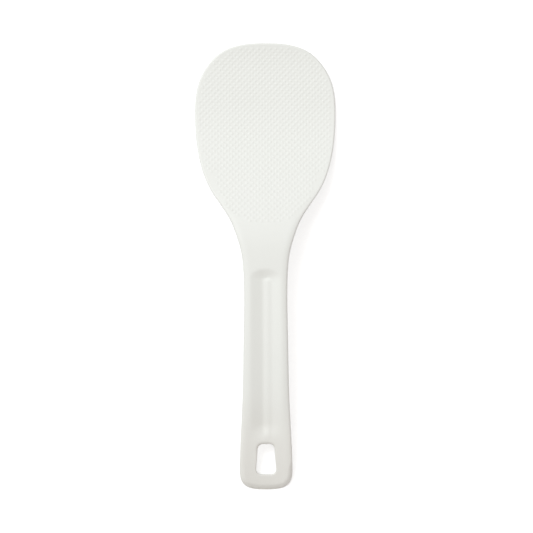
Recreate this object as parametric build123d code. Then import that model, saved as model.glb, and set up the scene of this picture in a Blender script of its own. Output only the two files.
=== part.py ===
from build123d import *
from math import hypot
import os

# Rice paddle: one white moulding, lying on its back.
# +X runs across it, +Y along it towards the blade's tip, and +Z up out of its front.
# The origin is on the surface that it rests on, under the middle of its length.
# A station is a distance along the paddle, from the butt towards the blade's tip.

# Lengths of the four regions, from the blade's tip back to the butt
blade_length = 122.0
neck_length = 26.0
grip_length = 116.0
hanging_end_length = 36.0

# Widths seen from the front
blade_width = 94.4
waist_width = 28.9
butt_width = 35.4

# Half of the plan outline, from the blade's tip back to the butt's round. Each point is a share of
# its region's length, from the region's blade end, and a share of half the width that it follows.
blade_outline_shares = [
    (0.018, 0.434),
    (0.051, 0.628),
    (0.095, 0.758),
    (0.183, 0.910),
    (0.272, 0.980),
    (0.403, 1.000),
    (0.580, 0.966),
    (0.712, 0.886),
    (0.800, 0.790),
    (0.889, 0.640),
    (0.975, 0.500),
]
neck_outline_shares = [(0.304, 1.334), (0.719, 1.127)]
grip_outline_shares = [(0.029, 1.036), (0.169, 0.998), (0.447, 1.028), (0.726, 1.069)]
hanging_end_outline_shares = [(0.010, 0.955), (0.460, 0.994)]

# The butt's round, fuller than an ellipse by how far its curve's handles reach
butt_round_length = 13.0
butt_round_share = 0.78

# Side view: height of the underside along the middle of the paddle
crest_height = 18.0
crest_share = 0.15
belly_share = 0.75
tip_lift = 2.5
rest_flat_length = 8.0

# Blade
blade_thickness = 2.6
blade_rim_thickness = 2.2
dish_depth = 1.2
dish_full_share = 0.47
thickening_share = 0.30

# Handle section
grip_thickness = 7.2
back_rise = 2.6
rim_roll_width = 5.5
rim_roll_drop = 1.3
butt_roll_length = 6.0
butt_roll_drop = 0.9

# Channel along the front of the handle
channel_width = 23.0
channel_depth = 2.4
channel_floor_share = 0.30
channel_wall_share = 0.76
channel_setback = 2.7
channel_round_length = 9.0
channel_fade_length = 16.0
channel_fade_margin = 2.0

# Hanging hole, a rounded trapezoid
hole_setback = 10.3
hole_length = 20.7
hole_butt_width = 13.9
hole_grip_width = 10.8
hole_butt_radius = 3.4
hole_grip_radius = 3.7
hole_rim_round = 0.8

# Rounding of the outer edges, limited to a share of the thin wall that carries it
rim_round = 0.9
rim_round_share = 0.42

# Spacing of the points that the curved faces and the butt's outline pass through, and how far
# cuts run past
blade_point_step = 4.0
handle_point_step = 1.6
end_point_step = 3.0
butt_point_step = 5.0
overrun = 4.0

# Stations of the cuts between the regions, and of the shape's own features
grip_start = hanging_end_length
neck_start = grip_start + grip_length
blade_start = neck_start + neck_length
overall_length = blade_start + blade_length
crest = neck_start + crest_share * neck_length
belly = blade_start + belly_share * blade_length
dish_full = blade_start + dish_full_share * blade_length
thickening_start = blade_start + thickening_share * blade_length
channel_end = neck_start - channel_setback
channel_fade_end = hole_setback + hole_length + channel_fade_margin
clear_height = crest_height + tip_lift + dish_depth + grip_thickness + overrun
middle = overall_length / 2


def outline_points(shares, start, length, width):
    """Points of half the outline in one region, as (across, station)."""
    return [(across * width / 2, start + length * (1 - along)) for along, across in shares]


side = Spline(
    (0, overall_length),
    *outline_points(blade_outline_shares, blade_start, blade_length, blade_width),
    *outline_points(neck_outline_shares, neck_start, neck_length, waist_width),
    *outline_points(grip_outline_shares, grip_start, grip_length, waist_width),
    *outline_points(hanging_end_outline_shares, 0, hanging_end_length, butt_width),
    (butt_width / 2, butt_round_length),
    tangents=[(1, 0), (0, -1)],
)
butt_round = Bezier(
    (butt_width / 2, butt_round_length),
    (butt_width / 2, butt_round_length * (1 - butt_round_share)),
    (butt_round_share * butt_width / 2, 0),
    (0, 0),
)


def half_width(station):
    """Half the plan width at a station, found by halving along the side of the outline."""
    near, far = 0.0, 1.0
    for _ in range(40):
        between = (near + far) / 2
        if (side @ between).Y > station:
            near = between
        else:
            far = between
    return (side @ near).X


def paddle_outline():
    """Plan of the blade, the neck and the grip, closed straight across the butt."""
    across = Line((butt_width / 2, butt_round_length), (-butt_width / 2, butt_round_length))
    return make_face([side, across, mirror(side, Plane.YZ)])


def butt_outline():
    """Plan of the hanging end: one smooth curve round the butt, closed past the cut to the grip."""
    steps = round((grip_start - butt_round_length) / butt_point_step)
    step = (grip_start - butt_round_length) / steps
    flank = [grip_start + step * (2 - count) for count in range(steps + 2)]
    bends = round((butt_round_length + butt_width / 2) / butt_point_step)
    points = [(half_width(station), station) for station in flank]
    for count in range(bends):
        point = butt_round @ (count / bends)
        points.append((point.X, point.Y))
    ring = [*points, (0, 0), *[(-across, station) for across, station in reversed(points)]]
    return make_face([Spline(*ring), Line(ring[-1], ring[0])])


def smooth_step(share):
    """Rise from 0 to 1 with level ends and no jump in curvature."""
    share = min(max(share, 0), 1)
    return share**3 * (share * (6 * share - 15) + 10)


def handle_share(station):
    """1 along the handle, falling to 0 where the blade has its own thickness."""
    return 1 - smooth_step((station - neck_start) / (thickening_start - neck_start))


def roll_share(station):
    """1 along the handle, falling to 0 over the neck."""
    return 1 - smooth_step((station - neck_start) / neck_length)


def lift(station):
    """Height of the underside along the middle."""
    if station < crest:
        back = (crest - station) / (crest - rest_flat_length)
        return crest_height * (1 - back**3)
    ahead = max(station - belly, 0) / (overall_length - belly)
    return crest_height * (1 - smooth_step((station - crest) / (belly - crest))) + tip_lift * ahead**3


def dish_share(station):
    """0 at the neck, rising to 1 where the blade has its full dish."""
    return smooth_step((station - blade_start) / (dish_full - blade_start))


def channel_sink(across, station):
    """How far the channel is sunk below the front of the handle."""
    half = channel_width / 2
    floor = channel_floor_share * half
    wall = channel_wall_share * half
    past = max(station - channel_end + channel_round_length, 0) * half / channel_round_length
    reach = hypot(across, past)
    depth = channel_depth * smooth_step((station - channel_fade_end) / channel_fade_length)
    slope = 2 * depth / (wall + half - floor)
    if reach < floor:
        return depth - slope * reach**2 / (2 * floor)
    if reach < wall:
        return depth - slope * (reach - floor / 2)
    if reach < half:
        return slope * (half - reach) ** 2 / (2 * (half - wall))
    return 0


def underside(across, station, width):
    """Height of the back: dished under the blade, crowned under the handle."""
    dish = dish_depth * dish_share(station) * (across / (blade_width / 2)) ** 2
    crown = back_rise * handle_share(station) * (across / width) ** 2
    return lift(station) + dish + crown


def front(across, station, width):
    """Height of the front, with the channel and the rolled rims of the handle."""
    handle = handle_share(station)
    thickness = blade_thickness + (grip_thickness - blade_thickness) * handle
    thinning = (blade_thickness - blade_rim_thickness) * dish_share(station)
    dish = (dish_depth * dish_share(station) - thinning) * (across / (blade_width / 2)) ** 2
    rim = max(rim_roll_width - width + abs(across), 0) / rim_roll_width
    butt = max(butt_roll_length - station, 0) / butt_roll_length
    roll = rim_roll_drop * roll_share(station) * rim**3 + butt_roll_drop * butt**3
    return lift(station) + thickness + dish - roll - channel_sink(across, station)


def curved_face(height, low, high, reach, step):
    """One smooth face through a grid of points, past both ends and both sides of a region."""
    columns = round(2 * reach / step)
    rows = round((high - low + 2 * overrun) / step)
    grid = []
    for row in range(rows + 1):
        station = low - overrun + (high - low + 2 * overrun) * row / rows
        width = half_width(min(max(station, rest_flat_length), belly))
        places = [reach * (2 * column / columns - 1) for column in range(columns + 1)]
        grid.append([(across, station, height(across, station, width)) for across in places])
    return Face.make_surface_from_array_of_points(grid, min_deg=3)


def upright(edge):
    """Whether an edge runs straight up."""
    size = edge.bounding_box().size
    return max(size.X, size.Y) < size.Z / 10


def within(shape, room):
    """Whether a shape lies inside a room, seen from above."""
    low, high = shape.bounding_box().min, shape.bounding_box().max
    wall_low, wall_high = room.bounding_box().min, room.bounding_box().max
    return wall_low.X < low.X and high.X < wall_high.X and wall_low.Y < low.Y and high.Y < wall_high.Y


def region(plan, low, high, reach, step):
    """The moulding between two stations, with its outer edges rounded."""
    walls = Pos(0, 0, -clear_height) * extrude(plan, 3 * clear_height)
    room = Pos(0, (low + high) / 2) * Box(2 * reach, high - low, 8 * clear_height)
    below_front = Solid.extrude(curved_face(front, low, high, reach, step), (0, 0, -2 * clear_height))
    above_back = Solid.extrude(curved_face(underside, low, high, reach, step), (0, 0, 2 * clear_height))
    solid = walls & room & below_front & above_back
    rims = solid.edges().filter_by(lambda edge: edge.bounding_box().size.Y > rim_round)
    return fillet(rims, min(rim_round, rim_round_share * blade_rim_thickness))


def with_hanging_hole(solid):
    """The butt cut through by the hole, rounded at both rims, then cut flat where it rests."""
    low = hole_setback
    high = hole_setback + hole_length
    corners = [
        (-hole_butt_width / 2, low),
        (hole_butt_width / 2, low),
        (hole_grip_width / 2, high),
        (-hole_grip_width / 2, high),
    ]
    plan = make_face(Polyline(*corners, close=True))
    plan = fillet(plan.vertices().sort_by(Axis.Y)[:2], hole_butt_radius)
    plan = fillet(plan.vertices().sort_by(Axis.Y)[-2:], hole_grip_radius)
    solid -= Pos(0, 0, -clear_height) * extrude(plan, 3 * clear_height)
    around = Box(hole_butt_width + hole_rim_round, hole_length + hole_rim_round, 6 * clear_height)
    around = Pos(0, (low + high) / 2) * around
    walls = solid.faces().filter_by(lambda face: within(face, around))
    rims = ShapeList(edge for wall in walls for edge in wall.edges() if not upright(edge))
    solid = fillet(rims, hole_rim_round)
    ground = Pos(0, grip_start / 2, -clear_height / 2)
    return solid - ground * Box(2 * butt_width, 2 * grip_start, clear_height)


outline = paddle_outline()
blade = region(outline, blade_start, overall_length + overrun, blade_width / 2 + overrun, blade_point_step)
neck = region(outline, neck_start, blade_start, half_width(blade_start) + overrun, handle_point_step)
grip = region(outline, grip_start, neck_start, butt_width / 2 + overrun, handle_point_step)
hanging_end = region(butt_outline(), -overrun, grip_start, butt_width / 2 + overrun, end_point_step)
hanging_end = with_hanging_hole(hanging_end)

nodes = {"blade": blade, "neck": neck, "grip": grip, "hanging_end": hanging_end}
os.makedirs("parts", exist_ok=True)
for name, solid in nodes.items():
    export_step(Pos(0, -middle) * solid, f"parts/{name}.step")
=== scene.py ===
import math
import bpy
import numpy as np
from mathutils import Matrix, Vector
from mathutils.geometry import delaunay_2d_cdt


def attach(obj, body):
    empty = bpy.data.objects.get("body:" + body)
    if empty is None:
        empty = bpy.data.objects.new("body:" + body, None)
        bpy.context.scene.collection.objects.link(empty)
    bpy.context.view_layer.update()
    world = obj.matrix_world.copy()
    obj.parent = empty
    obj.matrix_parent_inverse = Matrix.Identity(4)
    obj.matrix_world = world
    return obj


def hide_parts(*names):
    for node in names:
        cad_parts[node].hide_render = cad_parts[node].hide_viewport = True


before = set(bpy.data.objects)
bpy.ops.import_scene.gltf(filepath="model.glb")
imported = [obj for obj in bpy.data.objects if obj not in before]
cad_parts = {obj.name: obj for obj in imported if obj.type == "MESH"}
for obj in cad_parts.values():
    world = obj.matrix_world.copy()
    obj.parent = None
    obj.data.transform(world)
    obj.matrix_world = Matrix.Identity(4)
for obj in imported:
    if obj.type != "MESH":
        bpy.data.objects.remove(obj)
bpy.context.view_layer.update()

# Every length is in millimetres, unless its line says metres, and MM turns it into metres.
# x runs across the paddle. A station, s in short, is a distance along it, from the butt towards
# the blade's tip. An inset is a distance in from the outline, seen from above.
MM = 0.001

# Sizes shared with the solids, apart from the channel's ends

BLADE_LENGTH = 122.0
NECK_LENGTH = 26.0
GRIP_LENGTH = 116.0
END_LENGTH = 36.0
BLADE_WIDTH = 94.4
WAIST_WIDTH = 28.9
BUTT_WIDTH = 35.4

# Points of half the outline, each a share of its region's length, from the region's blade end,
# and a share of half the width that it follows
BLADE_OUTLINE_SHARES = [
    (0.018, 0.434), (0.051, 0.628), (0.095, 0.758), (0.183, 0.910), (0.272, 0.980), (0.403, 1.000),
    (0.580, 0.966), (0.712, 0.886), (0.800, 0.790), (0.889, 0.640), (0.975, 0.500),
]
NECK_OUTLINE_SHARES = [(0.304, 1.334), (0.719, 1.127)]
GRIP_OUTLINE_SHARES = [(0.029, 1.036), (0.169, 0.998), (0.447, 1.028), (0.726, 1.069)]
END_OUTLINE_SHARES = [(0.010, 0.955), (0.460, 0.994)]
BUTT_ROUND_LENGTH = 13.0
BUTT_ROUND_SHARE = 0.78

CREST_HEIGHT = 18.0
CREST_SHARE = 0.15
BELLY_SHARE = 0.75
TIP_LIFT = 2.5
REST_FLAT_LENGTH = 8.0

BLADE_THICKNESS = 2.6
BLADE_RIM_THICKNESS = 2.2
DISH_DEPTH = 1.2
DISH_FULL_SHARE = 0.47
THICKENING_SHARE = 0.30
GRIP_THICKNESS = 7.2
BACK_RISE = 2.6

CHANNEL_WIDTH = 23.0
CHANNEL_DEPTH = 2.4
CHANNEL_FLOOR_SHARE = 0.30
CHANNEL_WALL_SHARE = 0.76
CHANNEL_SETBACK = 2.7

# The channel's ends, a little tighter here than in the solids
CHANNEL_ROUND = 8.0
CHANNEL_FADE = 14.0
CHANNEL_MARGIN = 1.0

HOLE_SETBACK = 10.3
HOLE_LENGTH = 20.7
HOLE_BUTT_WIDTH = 13.9
HOLE_GRIP_WIDTH = 10.8
HOLE_BUTT_RADIUS = 3.4
HOLE_GRIP_RADIUS = 3.7

# Rounded edges and rolled rims of the finished surface

BLADE_EDGE = 1.2
HANDLE_EDGE = 1.1
BUTT_EDGE = 3.3
BACK_EDGE = 0.9
BUTT_BACK_EDGE = 0.4
BUTT_EDGE_END = 22.0
BUTT_EDGE_FADE = 11.0
HOLE_EDGE = 0.9
HOLE_TOP_EDGE = 1.9
HOLE_LAND = 0.6
ROLL_WIDTH = 5.5
ROLL_DROP = 1.3
THINNEST = 0.3

# The low line along the channel's floor, and the faint hollow across the hanging end

RIB_HEIGHT = 0.62
RIB_HALF_WIDTH = 3.4
RIB_OFFSET = 1.3
RIB_SETBACK = 6.2
RIB_BLUNT_END = 3.2
RIB_FADE = 8.0
END_HOLLOW = 1.3
END_HOLLOW_FADE = 30.0

# The blade's field of dots: a staggered lattice, clear of the border, with a round end at the neck

DOT_ROW_STEP = 1.96
DOT_COLUMN_STEP = 1.98
DOT_COLUMNS_EACH_SIDE = 30
DOT_SHIFT = 0.6
DOT_RADIUS = 1.3
DOT_HEIGHT = 0.24
DOT_SINK = 0.012
DOT_BORDER = 2.5
DOT_ARC_CENTRE = 212.0
DOT_ARC_RADIUS = 33.4
DOT_RINGS = 3
DOT_SIDES = 10

# Fineness of the meshes: angles in degrees, steps and gaps in millimetres, shares and counts

EDGE_ANGLES = (0, 12, 26, 42, 58, 74, 90)
EDGE_SHARES = [1 - math.cos(math.radians(angle)) for angle in EDGE_ANGLES]
RING_GAPS_PAST_EDGE = (0.5, 1.3)
CURVE_STEP = 0.2
OUTLINE_STEP = 1.2
BLADE_STEP = 2.2
HANDLE_STEP = 0.9
CUT_STEP = 1.0
CUT_GAP_SHARE = 0.6
CUT_MARGIN = 0.35
ROW_SHARE = 0.866
GRID_GAP_SHARE = 0.55
BUTT_CURVE_POINTS = 120
CORNER_STEPS = 8
POINTS_AT_ONCE = 2000
BEYOND = 1.0
TOUCHING = 1e-6
TINY = 1e-9

# Stations worked out from the sizes

GRIP_START = END_LENGTH
NECK_START = GRIP_START + GRIP_LENGTH
BLADE_START = NECK_START + NECK_LENGTH
OVERALL = BLADE_START + BLADE_LENGTH
CREST = NECK_START + CREST_SHARE * NECK_LENGTH
BELLY = BLADE_START + BELLY_SHARE * BLADE_LENGTH
DISH_FULL = BLADE_START + DISH_FULL_SHARE * BLADE_LENGTH
THICKENING_START = BLADE_START + THICKENING_SHARE * BLADE_LENGTH
ROLL_FADE_START = BLADE_START - NECK_LENGTH / 2
ROLL_FADE = 2 * NECK_LENGTH
CHANNEL_END = NECK_START - CHANNEL_SETBACK
CHANNEL_FADE_END = HOLE_SETBACK + HOLE_LENGTH + CHANNEL_MARGIN


# Curves in plan

def smooth_step(share):
    """Rise from 0 to 1 with level ends and no jump in curvature."""
    share = np.clip(share, 0, 1)
    return share**3 * (share * (6 * share - 15) + 10)


def spline(points, start, end):
    """A smooth curve through points, with given directions at its ends, as a dense polyline."""
    p = np.array(points, float)
    gap = np.hypot(*np.diff(p, axis=0).T)
    count = len(p)
    matrix = np.zeros((count, count))
    known = np.zeros((count, 2))
    matrix[0, 0] = matrix[-1, -1] = 1
    known[0], known[-1] = start, end
    for i in range(1, count - 1):
        matrix[i, i - 1] = 1 / gap[i - 1]
        matrix[i, i] = 2 / gap[i - 1] + 2 / gap[i]
        matrix[i, i + 1] = 1 / gap[i]
        known[i] = 3 * ((p[i] - p[i - 1]) / gap[i - 1] ** 2 + (p[i + 1] - p[i]) / gap[i] ** 2)
    slope = np.linalg.solve(matrix, known)
    stretches = []
    for i in range(count - 1):
        t = np.linspace(0, 1, max(int(gap[i] / CURVE_STEP), 2), endpoint=False)[:, None]
        stretches.append(
            (2 * t**3 - 3 * t**2 + 1) * p[i] + (t**3 - 2 * t**2 + t) * gap[i] * slope[i]
            + (3 * t**2 - 2 * t**3) * p[i + 1] + (t**3 - t**2) * gap[i] * slope[i + 1]
        )
    return np.vstack(stretches + [p[-1:]])


def evenly(path, step):
    """The same polyline with evenly spaced points."""
    run = np.concatenate([[0], np.cumsum(np.hypot(*np.diff(path, axis=0).T))])
    at = np.linspace(0, run[-1], max(round(run[-1] / step), 2) + 1)
    return np.column_stack([np.interp(at, run, path[:, 0]), np.interp(at, run, path[:, 1])])


def outline_points(shares, start, length, width):
    """Points of half the outline in one region, as (x, s)."""
    return [(across * width / 2, start + length * (1 - along)) for along, across in shares]


def butt_curve():
    """Half of the butt's round, from its side to its end."""
    a = np.array([BUTT_WIDTH / 2, BUTT_ROUND_LENGTH])
    b = np.array([BUTT_WIDTH / 2, BUTT_ROUND_LENGTH * (1 - BUTT_ROUND_SHARE)])
    c = np.array([BUTT_ROUND_SHARE * BUTT_WIDTH / 2, 0])
    d = np.array([0, 0])
    t = np.linspace(0, 1, BUTT_CURVE_POINTS)[1:, None]
    return (1 - t) ** 3 * a + 3 * t * (1 - t) ** 2 * b + 3 * t**2 * (1 - t) * c + t**3 * d


side = spline(
    [(0, OVERALL)]
    + outline_points(BLADE_OUTLINE_SHARES, BLADE_START, BLADE_LENGTH, BLADE_WIDTH)
    + outline_points(NECK_OUTLINE_SHARES, NECK_START, NECK_LENGTH, WAIST_WIDTH)
    + outline_points(GRIP_OUTLINE_SHARES, GRIP_START, GRIP_LENGTH, WAIST_WIDTH)
    + outline_points(END_OUTLINE_SHARES, 0, END_LENGTH, BUTT_WIDTH)
    + [(BUTT_WIDTH / 2, BUTT_ROUND_LENGTH)],
    (1, 0), (0, -1),
)
half_outline = np.vstack([side, butt_curve()])
outline = np.vstack([half_outline, half_outline[::-1] * (-1, 1)])


def half_width(s):
    """Half the plan width at a station, taken as full along the butt's round."""
    return np.interp(-np.asarray(s, float), -side[:, 1], side[:, 0])


def distance(x, s, path):
    """Shortest distance from each point to a polyline."""
    starts = path[:-1]
    runs = path[1:] - starts
    shortest = np.empty(len(x))
    for i in range(0, len(x), POINTS_AT_ONCE):
        some = slice(i, i + POINTS_AT_ONCE)
        p = np.column_stack([x[some], s[some]])[:, None, :]
        share = np.clip(((p - starts) * runs).sum(2) / (runs * runs).sum(1), 0, 1)
        shortest[some] = np.sqrt((((starts + share[..., None] * runs) - p) ** 2).sum(2)).min(1)
    return shortest


def inside(x, s, path):
    """Whether each point lies inside a closed polyline."""
    result = np.zeros(len(x), bool)
    for (x0, s0), (x1, s1) in zip(path, np.roll(path, -1, axis=0)):
        crosses = (s0 > s) != (s1 > s)
        with np.errstate(divide="ignore", invalid="ignore"):
            result ^= crosses & (x < (x1 - x0) * (s - s0) / (s1 - s0) + x0)
    return result


# Heights of the front and the back

def handle_share(s):
    """1 along the handle, falling to 0 where the blade has its own thickness."""
    return 1 - smooth_step((s - NECK_START) / (THICKENING_START - NECK_START))


def dish_share(s):
    """0 at the neck, rising to 1 where the blade has its full dish."""
    return smooth_step((s - BLADE_START) / (DISH_FULL - BLADE_START))


def butt_share(s):
    """1 round the butt, falling to 0 along the hanging end."""
    return smooth_step((BUTT_EDGE_END - s) / BUTT_EDGE_FADE)


def lift(s):
    """Height of the underside along the middle."""
    behind = (CREST - s) / (CREST - REST_FLAT_LENGTH)
    arch = CREST_HEIGHT * (1 - behind**3)
    ahead = np.maximum(s - BELLY, 0) / (OVERALL - BELLY)
    scoop = CREST_HEIGHT * (1 - smooth_step((s - CREST) / (BELLY - CREST))) + TIP_LIFT * ahead**3
    return np.where(s < CREST, arch, scoop)


def channel_sink(x, s):
    """How far the channel is sunk below the front of the handle."""
    half = CHANNEL_WIDTH / 2
    floor = CHANNEL_FLOOR_SHARE * half
    wall = CHANNEL_WALL_SHARE * half
    past = np.maximum(s - CHANNEL_END + CHANNEL_ROUND, 0) * half / CHANNEL_ROUND
    reach = np.hypot(x, past)
    depth = CHANNEL_DEPTH * smooth_step((s - CHANNEL_FADE_END) / CHANNEL_FADE)
    slope = 2 * depth / (wall + half - floor)
    on_floor = depth - slope * reach**2 / (2 * floor)
    on_wall = depth - slope * (reach - floor / 2)
    on_lip = slope * (half - reach) ** 2 / (2 * (half - wall))
    return np.select([reach < floor, reach < wall, reach < half], [on_floor, on_wall, on_lip], 0.0)


def rib(x, s):
    """A low rounded line along the middle of the channel's floor, blunt at its upper end."""
    upper = smooth_step((CHANNEL_END - RIB_SETBACK - s) / RIB_BLUNT_END)
    lower = smooth_step((s - CHANNEL_FADE_END) / RIB_FADE)
    across = np.clip((x - RIB_OFFSET) / RIB_HALF_WIDTH, -1, 1)
    return RIB_HEIGHT * upper * lower * (1 - across**2) ** 2


def end_hollow(x, s):
    """The faint hollow across the front of the hanging end."""
    across = np.clip(1 - (x / (BUTT_WIDTH / 2)) ** 2, 0, 1)
    return END_HOLLOW * across * (1 - smooth_step((s - GRIP_START) / END_HOLLOW_FADE))


def edge_radius(s):
    """Radius of the front's rounded edge: small on the blade, largest round the butt."""
    handle = HANDLE_EDGE + (BUTT_EDGE - HANDLE_EDGE) * butt_share(s)
    return BLADE_EDGE + (handle - BLADE_EDGE) * handle_share(s)


def quarter(radius, inset):
    """Drop of a rounded edge at a distance in from the wall."""
    gone = np.clip(radius - inset, 0, radius)
    return radius - np.sqrt(np.maximum(radius**2 - gone**2, 0))


def front(x, s, inset):
    """Height of the front."""
    thickness = BLADE_THICKNESS + (GRIP_THICKNESS - BLADE_THICKNESS) * handle_share(s)
    rise = DISH_DEPTH - BLADE_THICKNESS + BLADE_RIM_THICKNESS
    dish = rise * dish_share(s) * (x / (BLADE_WIDTH / 2)) ** 2
    roll = ROLL_DROP * (1 - smooth_step((s - ROLL_FADE_START) / ROLL_FADE))
    roll = roll * (np.clip(ROLL_WIDTH - inset, 0, None) / ROLL_WIDTH) ** 3
    height = lift(s) + thickness + dish - roll - channel_sink(x, s)
    return height + rib(x, s) - end_hollow(x, s) - quarter(edge_radius(s), inset)


def back(x, s, inset):
    """Height of the back, cut flat where it rests."""
    width = half_width(np.clip(s, REST_FLAT_LENGTH, BELLY))
    dish = DISH_DEPTH * dish_share(s) * (x / (BLADE_WIDTH / 2)) ** 2
    crown = BACK_RISE * handle_share(s) * (x / width) ** 2
    radius = BACK_EDGE + (BUTT_BACK_EDGE - BACK_EDGE) * butt_share(s)
    return np.maximum(lift(s) + dish + crown, 0) + quarter(radius, inset)


# Plans of the regions: rings along the outline, the cuts, the hole's rings and a grid between them

def outline_rings():
    """Half rings at growing insets from the outline, closest together on its rounded edge."""
    path = evenly(half_outline, OUTLINE_STEP)
    path[0], path[-1] = (0, OVERALL), (0, 0)
    along = np.gradient(path, axis=0)
    along[0], along[-1] = (1, 0), (-1, 0)
    outward = np.column_stack([-along[:, 1], along[:, 0]])
    outward /= np.hypot(*outward.T)[:, None]
    radius = edge_radius(path[:, 1])
    insets = [radius * share for share in EDGE_SHARES] + [radius + gap for gap in RING_GAPS_PAST_EDGE]
    return [(path - outward * inset[:, None], inset) for inset in insets]


rings = outline_rings()


def cut_points(station):
    """Points across the cut at a station, as rows of (x, inset)."""
    right = []
    for ring, inset in rings:
        x = np.interp(-station, -ring[:, 1], ring[:, 0])
        right.append((x, np.interp(-station, -ring[:, 1], inset)))
    left = [(-x, inset) for x, inset in right]
    reach = min(x for x, _ in right) - CUT_GAP_SHARE * CUT_STEP
    count = math.ceil(reach / CUT_STEP)
    middle = [reach * i / count for i in range(-count, count + 1)]
    insets = distance(np.array(middle), np.full(len(middle), station), half_outline)
    return sorted(left + list(zip(middle, insets)) + right)


def hole_path(grow):
    """The hanging hole's rounded trapezoid, grown outwards by a distance, as a closed polyline."""
    low = HOLE_SETBACK
    high = HOLE_SETBACK + HOLE_LENGTH
    corners = np.array([
        (HOLE_BUTT_WIDTH / 2, low), (HOLE_GRIP_WIDTH / 2, high),
        (-HOLE_GRIP_WIDTH / 2, high), (-HOLE_BUTT_WIDTH / 2, low),
    ])
    radii = [HOLE_BUTT_RADIUS, HOLE_GRIP_RADIUS, HOLE_GRIP_RADIUS, HOLE_BUTT_RADIUS]
    path = []
    for i, radius in enumerate(radii):
        here, before, after = corners[i], corners[i - 1], corners[(i + 1) % 4]
        u = (before - here) / np.hypot(*(before - here))
        v = (after - here) / np.hypot(*(after - here))
        turn = math.acos(float(u @ v))
        centre = here + (u + v) / np.hypot(*(u + v)) * radius / math.sin(turn / 2)
        first = centre - here - u * ((centre - here) @ u)
        last = centre - here - v * ((centre - here) @ v)
        start, stop = math.atan2(-first[1], -first[0]), math.atan2(-last[1], -last[0])
        sweep = (stop - start + math.pi) % (2 * math.pi) - math.pi
        for k in range(CORNER_STEPS + 1):
            angle = start + sweep * k / CORNER_STEPS
            path.append(centre + (radius + grow) * np.array([math.cos(angle), math.sin(angle)]))
    return np.array(path)


def hole_rim():
    """Points round the hanging hole, each with its outward direction and the radius of its rim."""
    path = hole_path(0)
    away = hole_path(1) - path
    points, outward = [], []
    for i in range(len(path)):
        a, b, u, v = path[i - 1], path[i], away[i - 1], away[i]
        parts = max(round(math.dist(a, b) / OUTLINE_STEP), 1)
        points += [a + (b - a) * k / parts for k in range(parts)]
        outward += [u + (v - u) * k / parts for k in range(parts)]
    points, outward = np.array(points), np.array(outward)
    towards_grip = smooth_step(2 * (points[:, 1] - HOLE_SETBACK) / HOLE_LENGTH - 1)
    return points, outward, HOLE_EDGE + (HOLE_TOP_EDGE - HOLE_EDGE) * towards_grip


class Plan:
    """A region seen from above: points with their insets, edges, and the edges that carry walls."""

    def __init__(self):
        self.points = []
        self.insets = []
        self.edges = []
        self.walls = []

    def add(self, x, s, inset):
        """Add a point and return its number."""
        self.points.append((x, s))
        self.insets.append(inset)
        return len(self.points) - 1

    def join(self, index):
        """Join a row of points by edges."""
        pairs = list(zip(index[:-1], index[1:]))
        self.edges += pairs
        return pairs


def add_cuts(plan, low, high):
    """Rows of points across the region's plane ends, the same as its neighbours have."""
    cuts = {}
    for station in (low, high):
        if 0 < station < OVERALL:
            cuts[station] = [plan.add(x, station, inset) for x, inset in cut_points(station)]
            plan.join(cuts[station])
    return cuts


def add_rings(plan, low, high, cuts):
    """The rings down both sides, ended by the cuts or closed round the tip or the butt."""
    for k, (ring, inset) in enumerate(rings):
        keep = (ring[:, 1] > low + CUT_MARGIN) & (ring[:, 1] < high - CUT_MARGIN)
        for mirror in (1, -1):
            chosen = [(mirror * x, s, i) for (x, s), i in zip(ring[keep], inset[keep])]
            if mirror < 0:
                chosen = [point for point in chosen if point[0] < -TINY]
            index = [plan.add(*point) for point in chosen]
            place = k if mirror < 0 else -1 - k
            if high in cuts:
                index.insert(0, cuts[high][place])
            if low in cuts:
                index.append(cuts[low][place])
            if mirror > 0:
                right = index
            elif high not in cuts:
                index.insert(0, right[0])
            elif low not in cuts:
                index.append(right[-1])
            pairs = plan.join(index)
            if k == 0:
                plan.walls += pairs if mirror > 0 else [(b, a) for a, b in pairs]


def add_hole(plan):
    """The rings round the hanging hole, and how far each point drops the front and lifts the back."""
    base, outward, radius = hole_rim()
    rims = {}
    for grow in [radius * share for share in EDGE_SHARES] + [radius + HOLE_LAND]:
        path = base + outward * grow[:, None]
        insets = distance(np.abs(path[:, 0]), path[:, 1], half_outline)
        index = [plan.add(x, s, inset) for (x, s), inset in zip(path, insets)]
        for i, r, g in zip(index, radius, grow):
            rims[i] = (quarter(r, g), quarter(HOLE_EDGE, g))
        pairs = plan.join(index + index[:1])
        if not grow.any():
            plan.walls += [(b, a) for a, b in pairs]
    return rims


def add_grid(plan, low, high, step, hole):
    """Staggered rows of points inside the rings."""
    start = max(low, 0)
    end = min(high, OVERALL)
    rows = math.ceil((end - start) / (step * ROW_SHARE))
    grid = []
    for row in range(1, rows):
        s = start + (end - start) * row / rows
        count = math.ceil(half_width(s) / step) + 1
        grid += [((i + 0.5 * (row % 2)) * step, s) for i in range(-count, count + 1)]
    grid = np.array(grid)
    grid = grid[inside(grid[:, 0], grid[:, 1], outline)]
    insets = distance(np.abs(grid[:, 0]), grid[:, 1], half_outline)
    gap = GRID_GAP_SHARE * step
    keep = insets > edge_radius(grid[:, 1]) + RING_GAPS_PAST_EDGE[-1] + gap
    if hole:
        base, outward, radius = hole_rim()
        keep &= ~inside(grid[:, 0], grid[:, 1], base + outward * (radius + HOLE_LAND + gap)[:, None])
    for (x, s), inset in zip(grid[keep], insets[keep]):
        plan.add(x, s, inset)


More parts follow.
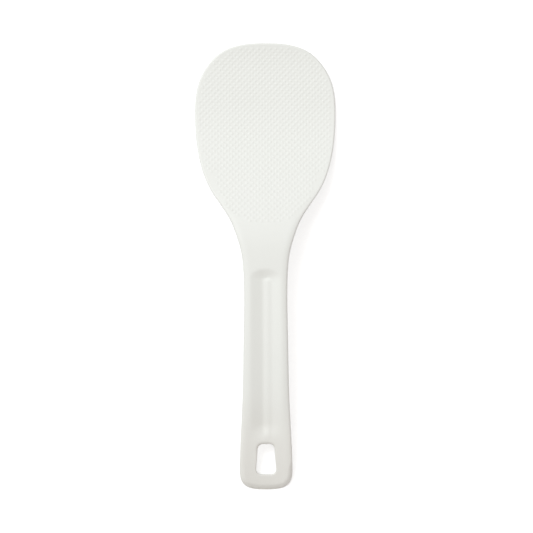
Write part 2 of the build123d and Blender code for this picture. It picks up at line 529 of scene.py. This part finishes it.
def plan_faces(plan, low, high, hole):
    """Triangles between the plan's points, anticlockwise seen from above."""
    corners = [Vector(point) for point in plan.points]
    verts, _, faces, origin, _, _ = delaunay_2d_cdt(corners, plan.edges, [], 0, TOUCHING, True)
    if len(verts) != len(corners) or any(o != [i] for i, o in enumerate(origin)):
        raise RuntimeError("the outline of a region crosses itself")
    faces = np.array(faces)
    xy = np.array(plan.points)
    x, s = xy[faces].mean(1).T
    keep = inside(x, s, outline) & (s > low) & (s < high)
    if hole:
        keep &= ~inside(x, s, hole_rim()[0])
    faces = faces[keep]
    a, b, c = xy[faces[:, 0]], xy[faces[:, 1]], xy[faces[:, 2]]
    turn = (b[:, 0] - a[:, 0]) * (c[:, 1] - a[:, 1]) - (b[:, 1] - a[:, 1]) * (c[:, 0] - a[:, 0])
    return np.where(turn[:, None] > 0, faces, faces[:, ::-1])


# Meshes: one per node, cut from the same smooth surface

def region(low, high, step, hole):
    """Vertices, faces and end loops of the moulding between two stations, in millimetres."""
    plan = Plan()
    cuts = add_cuts(plan, low, high)
    add_rings(plan, low, high, cuts)
    rims = add_hole(plan) if hole else {}
    add_grid(plan, low, high, step, hole)
    faces = plan_faces(plan, low, high, hole)
    xy = np.array(plan.points)
    inset = np.array(plan.insets)
    under = back(xy[:, 0], xy[:, 1], inset)
    top = np.maximum(front(xy[:, 0], xy[:, 1], inset), under + THINNEST)
    for i, (drop, rise) in rims.items():
        top[i] -= drop
        under[i] += rise
    count = len(xy)
    solid = np.vstack([np.column_stack([xy, top]), np.column_stack([xy, under])])
    shell = [tuple(f) for f in faces] + [tuple(f[::-1] + count) for f in faces]
    shell += [(b, a, a + count, b + count) for a, b in plan.walls]
    caps = []
    for station, index in cuts.items():
        loop = index + [i + count for i in reversed(index)]
        caps.append((loop, 1 if station == high else -1))
    return solid, shell, caps


def normal_sums(solid, shell):
    """At each vertex, the sum of the normals of its faces, each as long as its face is large."""
    total = np.zeros_like(solid)
    for size in (3, 4):
        faces = np.array([f for f in shell if len(f) == size])
        if not len(faces):
            continue
        p = solid[faces]
        if size == 3:
            normal = np.cross(p[:, 1] - p[:, 0], p[:, 2] - p[:, 0])
        else:
            normal = np.cross(p[:, 2] - p[:, 0], p[:, 3] - p[:, 1])
        for corner in range(size):
            np.add.at(total, faces[:, corner], normal)
    return total


def dot_places():
    """Places of the dots: rows staggered by half a space, inside the border and the round end."""
    spots = []
    for row in range(int(2 * BLADE_LENGTH / DOT_ROW_STEP)):
        s = OVERALL - row * DOT_ROW_STEP
        for column in range(-DOT_COLUMNS_EACH_SIDE, DOT_COLUMNS_EACH_SIDE + 1):
            if (row + column) % 2 == 0:
                spots.append((column * DOT_COLUMN_STEP - DOT_SHIFT, s))
    spots = np.array(spots)
    keep = inside(spots[:, 0], spots[:, 1], outline) & (spots[:, 1] > NECK_START)
    spots = spots[keep]
    x, s = spots.T
    inset = distance(np.abs(x), s, half_outline)
    in_arc = (s > DOT_ARC_CENTRE) | (np.hypot(x, s - DOT_ARC_CENTRE) < DOT_ARC_RADIUS)
    return spots[(inset > DOT_BORDER) & in_arc]


def dots():
    """The blade's field of low round dots, as rings of faces that follow its front."""
    turns = np.arange(DOT_SIDES) * 2 * math.pi / DOT_SIDES
    unit = [(0.0, 0.0, 0.0)]
    for ring in range(1, DOT_RINGS + 1):
        share = ring / DOT_RINGS
        unit += [(share * math.cos(a), share * math.sin(a), share) for a in turns]
    unit = np.array(unit)
    faces = [(0, 1 + i, 1 + (i + 1) % DOT_SIDES) for i in range(DOT_SIDES)]
    for ring in range(DOT_RINGS - 1):
        inner = 1 + ring * DOT_SIDES
        outer = inner + DOT_SIDES
        for i in range(DOT_SIDES):
            after = (i + 1) % DOT_SIDES
            faces.append((inner + i, outer + i, outer + after, inner + after))
    spots = dot_places()
    x = (spots[:, :1] + DOT_RADIUS * unit[:, 0]).ravel()
    s = (spots[:, 1:] + DOT_RADIUS * unit[:, 1]).ravel()
    bump = np.tile(DOT_HEIGHT * (1 - unit[:, 2] ** 2) ** 2, len(spots))
    past_rims = np.full(len(x), 2 * ROLL_WIDTH)
    z = front(x, s, past_rims) + bump - DOT_SINK
    shell = [tuple(v + len(unit) * i for v in f) for i in range(len(spots)) for f in faces]
    return np.column_stack([x, s, z]), shell


def build(name, solid, shell, caps, normals):
    """A mesh object in the row frame, with its node's faces, plane caps and smooth normals."""
    verts, faces, facings = [solid], list(shell), []
    base = len(solid)
    for loop, facing in caps:
        verts.append(solid[loop])
        order = list(range(base, base + len(loop)))
        base += len(loop)
        faces.append(tuple(order if facing < 0 else order[::-1]))
        facings.append(facing)
    verts = np.vstack(verts)
    place = np.column_stack([verts[:, 0], verts[:, 1] - OVERALL / 2, verts[:, 2]]) * MM
    mesh = bpy.data.meshes.new(name)
    mesh.from_pydata(place.tolist(), [], [tuple(int(i) for i in f) for f in faces])
    for polygon in mesh.polygons:
        polygon.use_smooth = True
    per_corner = [tuple(normals[v]) for f in shell for v in f]
    for facing, face in zip(facings, faces[len(shell):]):
        per_corner += [(0.0, float(facing), 0.0)] * len(face)
    mesh.normals_split_custom_set(per_corner)
    mesh.validate()
    piece = bpy.data.objects.new(name, mesh)
    bpy.context.scene.collection.objects.link(piece)
    return piece


# For each node: its stations, the spacing of its points, and whether the hanging hole is in it
spans = {
    "blade": (BLADE_START, OVERALL + BEYOND, BLADE_STEP, False),
    "neck": (NECK_START, BLADE_START, HANDLE_STEP, False),
    "grip": (GRIP_START, NECK_START, HANDLE_STEP, False),
    "hanging_end": (-BEYOND, GRIP_START, HANDLE_STEP, True),
}
made = {name: region(*span) for name, span in spans.items()}
sums = {name: normal_sums(solid, shell) for name, (solid, shell, _) in made.items()}

# Points that two nodes share at a cut get one normal, so that the shading runs on over it
shared = {}
for name, (solid, _, _) in made.items():
    for station in (GRIP_START, NECK_START, BLADE_START):
        for i in np.flatnonzero(np.abs(solid[:, 1] - station) < TOUCHING):
            place = (station, round(solid[i, 0], 3), round(solid[i, 2], 3))
            shared.setdefault(place, []).append((name, i))
for group in shared.values():
    total = sum(sums[name][i].copy() for name, i in group)
    for name, i in group:
        sums[name][i] = total

pieces = {}
for name, (solid, shell, caps) in made.items():
    normals = sums[name]
    if name == "blade":
        dot_solid, dot_shell = dots()
        shell = shell + [tuple(v + len(solid) for v in f) for f in dot_shell]
        solid = np.vstack([solid, dot_solid])
        normals = np.vstack([normals, normal_sums(dot_solid, dot_shell)])
    normals = normals / np.maximum(np.linalg.norm(normals, axis=1), TINY)[:, None]
    pieces[name] = build(name + "_moulding", solid, shell, caps, normals)


# Material: satin white plastic, faintly mottled, with painted warm shade that makes it a little warmer
# and darker towards the butt

PLASTIC_IOR = 1.49
MOTTLE_SCALE = 26.0
MOTTLE_DETAIL = 3.0
MOTTLE_LOW = 0.3
MOTTLE_HIGH = 0.7
DARKER_TINT = (0.800, 0.808, 0.768, 1)
LIGHTER_TINT = (0.812, 0.818, 0.782, 1)
# Painted warm shade: this colour is multiplied into the base colour towards the butt, between these
# two heights of y
BUTT_PAINTED_SHADE = (1.0, 0.984, 0.974, 1)
PAINTED_SHADE_START_Y = -70.0
PAINTED_SHADE_FULL_Y = -140.0
LOWEST_ROUGHNESS = 0.52
HIGHEST_ROUGHNESS = 0.58
GRAIN_SCALE = 1600.0
GRAIN_DETAIL = 2.0
GRAIN_STRENGTH = 0.12
GRAIN_DEPTH = 0.1


def noise(nodes, links, place, scale, detail):
    """The value of a noise texture that is fixed to the object."""
    texture = nodes.new("ShaderNodeTexNoise")
    texture.inputs["Scale"].default_value = scale
    texture.inputs["Detail"].default_value = detail
    links.new(place.outputs["Object"], texture.inputs["Vector"])
    return texture.outputs["Fac"]


def plastic():
    """The one material of the paddle."""
    material = bpy.data.materials.new("white_plastic")
    material.use_nodes = True
    nodes, links = material.node_tree.nodes, material.node_tree.links
    shader = nodes["Principled BSDF"]
    shader.inputs["IOR"].default_value = PLASTIC_IOR
    place = nodes.new("ShaderNodeTexCoord")
    mottle = noise(nodes, links, place, MOTTLE_SCALE, MOTTLE_DETAIL)
    tint = nodes.new("ShaderNodeValToRGB")
    darker, lighter = tint.color_ramp.elements
    darker.position, darker.color = MOTTLE_LOW, DARKER_TINT
    lighter.position, lighter.color = MOTTLE_HIGH, LIGHTER_TINT
    links.new(mottle, tint.inputs["Fac"])
    axes = nodes.new("ShaderNodeSeparateXYZ")
    links.new(place.outputs["Object"], axes.inputs["Vector"])
    # Painted shade: a share from 0 to 1 towards the butt that darkens and warms the base colour there,
    # standing in for the shade on the handle's end
    painted_shade_share = nodes.new("ShaderNodeMapRange")
    painted_shade_share.interpolation_type = "SMOOTHSTEP"
    painted_shade_share.inputs["From Min"].default_value = PAINTED_SHADE_START_Y * MM
    painted_shade_share.inputs["From Max"].default_value = PAINTED_SHADE_FULL_Y * MM
    links.new(axes.outputs["Y"], painted_shade_share.inputs["Value"])
    painted_warm_shade = nodes.new("ShaderNodeMix")
    painted_warm_shade.data_type = "RGBA"
    painted_warm_shade.blend_type = "MULTIPLY"
    share, first, second = painted_warm_shade.inputs[0], painted_warm_shade.inputs[6], painted_warm_shade.inputs[7]
    links.new(painted_shade_share.outputs["Result"], share)
    links.new(tint.outputs["Color"], first)
    second.default_value = BUTT_PAINTED_SHADE
    links.new(painted_warm_shade.outputs[2], shader.inputs["Base Color"])
    sheen = nodes.new("ShaderNodeMapRange")
    sheen.inputs["From Min"].default_value = MOTTLE_LOW
    sheen.inputs["From Max"].default_value = MOTTLE_HIGH
    sheen.inputs["To Min"].default_value = LOWEST_ROUGHNESS
    sheen.inputs["To Max"].default_value = HIGHEST_ROUGHNESS
    links.new(mottle, sheen.inputs["Value"])
    links.new(sheen.outputs["Result"], shader.inputs["Roughness"])
    bump = nodes.new("ShaderNodeBump")
    bump.inputs["Strength"].default_value = GRAIN_STRENGTH
    bump.inputs["Distance"].default_value = GRAIN_DEPTH * MM
    links.new(noise(nodes, links, place, GRAIN_SCALE, GRAIN_DETAIL), bump.inputs["Height"])
    links.new(bump.outputs["Normal"], shader.inputs["Normal"])
    return material


white_plastic = plastic()
for name, piece in pieces.items():
    piece.data.materials.append(white_plastic)
    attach(piece, "root")
    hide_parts(name)


# Floor and world: white to the rays that show the background, and to all others the world is a fill

FLOOR_REACH_METRES = 3.0
FLOOR_SHADE = (0.72, 0.72, 0.72, 1)
FLOOR_GLOW = 0.58
FILL_COLOUR = (1.04, 1.0, 0.985, 1)
FILL_STRENGTH = 0.556
WHITE = (1, 1, 1, 1)


def seen_directly(tree):
    """1 for the rays that show the background: camera, glossy and transmission rays."""
    nodes, links = tree.nodes, tree.links
    path = nodes.new("ShaderNodeLightPath")
    either = nodes.new("ShaderNodeMath")
    either.operation = "MAXIMUM"
    links.new(path.outputs["Is Camera Ray"], either.inputs[0])
    links.new(path.outputs["Is Glossy Ray"], either.inputs[1])
    each = nodes.new("ShaderNodeMath")
    each.operation = "MAXIMUM"
    links.new(either.outputs[0], each.inputs[0])
    links.new(path.outputs["Is Transmission Ray"], each.inputs[1])
    return each.outputs[0]


def floor_paper():
    """Matte paper that takes shadows, and glows for the rays that show the background."""
    material = bpy.data.materials.new("floor_paper")
    material.use_nodes = True
    nodes, links = material.node_tree.nodes, material.node_tree.links
    nodes.remove(nodes["Principled BSDF"])
    matte = nodes.new("ShaderNodeBsdfDiffuse")
    matte.inputs["Color"].default_value = FLOOR_SHADE
    glow = nodes.new("ShaderNodeEmission")
    glow_level = nodes.new("ShaderNodeMath")
    glow_level.operation = "MULTIPLY"
    glow_level.inputs[1].default_value = FLOOR_GLOW
    links.new(seen_directly(material.node_tree), glow_level.inputs[0])
    links.new(glow_level.outputs[0], glow.inputs["Strength"])
    both = nodes.new("ShaderNodeAddShader")
    links.new(matte.outputs[0], both.inputs[0])
    links.new(glow.outputs[0], both.inputs[1])
    links.new(both.outputs[0], nodes["Material Output"].inputs["Surface"])
    return material


corners = [(-1, -1, 0), (1, -1, 0), (1, 1, 0), (-1, 1, 0)]
floor_mesh = bpy.data.meshes.new("floor")
floor_mesh.from_pydata([Vector(corner) * FLOOR_REACH_METRES for corner in corners], [], [(0, 1, 2, 3)])
floor_mesh.materials.append(floor_paper())
floor = bpy.data.objects.new("floor", floor_mesh)
bpy.context.scene.collection.objects.link(floor)

world = bpy.data.worlds.new("studio")
bpy.context.scene.world = world
world.use_nodes = True
nodes, links = world.node_tree.nodes, world.node_tree.links
fill = nodes["Background"]
fill.inputs["Color"].default_value = FILL_COLOUR
fill.inputs["Strength"].default_value = FILL_STRENGTH
white = nodes.new("ShaderNodeBackground")
white.inputs["Color"].default_value = WHITE
white.inputs["Strength"].default_value = 1.0
mix = nodes.new("ShaderNodeMixShader")
links.new(seen_directly(world.node_tree), mix.inputs[0])
links.new(fill.outputs[0], mix.inputs[1])
links.new(white.outputs[0], mix.inputs[2])
links.new(mix.outputs[0], nodes["World Output"].inputs["Surface"])


# Lamps: a cool key at the upper left and a faint warm one beyond the butt, places and sizes in metres

def softbox(name, place, width, length, power, colour):
    """A rectangular lamp that faces the paddle."""
    lamp = bpy.data.lights.new(name, "AREA")
    lamp.shape = "RECTANGLE"
    lamp.size = width
    lamp.size_y = length
    lamp.energy = power
    lamp.color = colour
    box = bpy.data.objects.new(name, lamp)
    box.location = place
    box.rotation_euler = (-Vector(place)).to_track_quat("-Z", "Y").to_euler()
    bpy.context.scene.collection.objects.link(box)


softbox("key", place=(-0.85, 0.93, 1.6), width=1.3, length=1.3, power=24.4, colour=(0.95, 1.0, 1.02))
softbox("warm", place=(0.3, -2.6, 1.2), width=1.6, length=0.8, power=3.0, colour=(1.0, 0.86, 0.74))


# Camera: straight above, its frame as wide as the photo, with the scale true at one height

PHOTO_PIXELS = 533
PIXELS_PER_MM = 1.4893
SENSOR_WIDTH = 36.0
CAMERA_DISTANCE = 2500.0
CAMERA_X = 0.6
CAMERA_Y = -0.1
TRUE_SCALE_HEIGHT = 5.0
CAMERA_TURN_DEGREES = -0.15
CAMERA_CLIP_METRES = 20.0

camera_data = bpy.data.cameras.new("camera")
camera_data.sensor_width = SENSOR_WIDTH
camera_data.lens = SENSOR_WIDTH * CAMERA_DISTANCE / (PHOTO_PIXELS / PIXELS_PER_MM)
camera_data.clip_end = CAMERA_CLIP_METRES
camera = bpy.data.objects.new("camera", camera_data)
camera.location = Vector((CAMERA_X, CAMERA_Y, TRUE_SCALE_HEIGHT + CAMERA_DISTANCE)) * MM
camera.rotation_euler = (0, 0, math.radians(CAMERA_TURN_DEGREES))
bpy.context.scene.collection.objects.link(camera)
bpy.context.scene.camera = camera

bpy.context.scene.view_settings.view_transform = "Standard"
